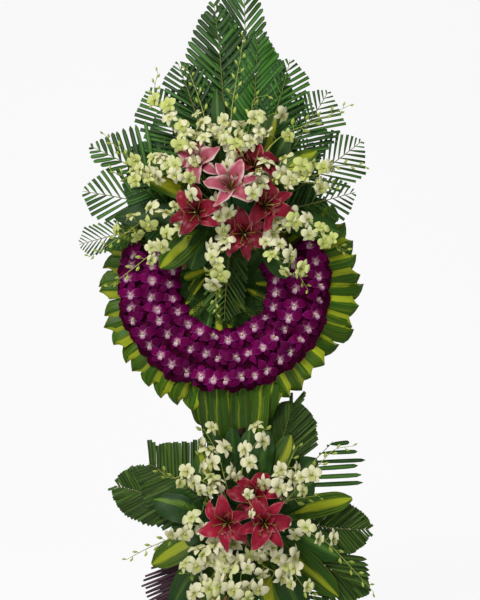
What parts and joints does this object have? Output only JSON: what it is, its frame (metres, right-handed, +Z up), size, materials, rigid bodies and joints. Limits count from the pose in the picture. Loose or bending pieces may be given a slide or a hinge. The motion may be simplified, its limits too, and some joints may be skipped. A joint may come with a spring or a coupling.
{
  "type": "standing funeral wreath",
  "caption": "Two-tier standing funeral wreath: a ring of purple orchids on folded leaves, with palm fronds, lilies and white orchids above and below, on a wooden tripod",
  "frame": {"origin": "on the floor, under the centre of the wreath's box", "axes": "+Z up, the flowers face -Y, +X to the right as seen from the front"},
  "size_m": [0.803, 0.7898, 1.9132],
  "materials": {
    "wood": "matte",
    "steel": "satin",
    "straw": "matte",
    "foam": "matte",
    "collar_leaf": "satin",
    "broad_leaf": "satin",
    "palm": "satin",
    "purple_orchid": "matte",
    "white_orchid": "matte",
    "lily": "matte"
  },
  "bodies": {
    "root": {"mast": "wood", "front_leg_left": "wood", "front_leg_right": "wood", "rear_leg": "wood", "rear_stretcher": "wood", "top_bracket": "steel", "upper_slat": "wood", "middle_slat": "wood", "lower_slat": "wood", "bottom_rail": "wood", "foam_shelf": "wood", "ring_base": "straw", "collar_leaves_1": "collar_leaf", "collar_leaves_2": "collar_leaf", "collar_leaves_3": "collar_leaf", "orchid_bed_left": "purple_orchid", "orchid_bed_bottom": "purple_orchid", "orchid_bed_right": "purple_orchid", "skirt_leaf": "broad_leaf", "upper_foam": "foam", "upper_frond_top": "palm", "upper_frond_top_left": "palm", "upper_frond_right_high": "palm", "upper_frond_right": "palm", "upper_frond_left_high": "palm", "upper_frond_left": "palm", "upper_frond_left_low": "palm", "upper_frond_left_hanging": "palm", "centre_frond": "palm", "upper_leaf_left": "broad_leaf", "upper_leaf_right": "broad_leaf", "upper_spray_top": "white_orchid", "upper_spray_left": "white_orchid", "upper_spray_right": "white_orchid", "upper_spray_hanging": "white_orchid", "upper_spray_hanging_right": "white_orchid", "upper_lily_left_high": "lily", "upper_lily_centre": "lily", "upper_lily_right_high": "lily", "upper_lily_left": "lily", "upper_lily_right": "lily", "upper_lily_low": "lily", "lower_foam": "foam", "lower_frond_left": "palm", "lower_frond_left_low": "palm", "lower_frond_top_right": "palm", "lower_frond_right": "palm", "lower_frond_right_low": "palm", "lower_leaf_left": "broad_leaf", "lower_leaf_left_low": "broad_leaf", "lower_leaf_right_low": "broad_leaf", "lower_leaf_right": "broad_leaf", "lower_spray_left": "white_orchid", "lower_spray_hanging": "white_orchid", "lower_spray_right": "white_orchid", "lower_lily_top": "lily", "lower_lily_left": "lily", "lower_lily_right": "lily"}
  },
  "joints": []
}
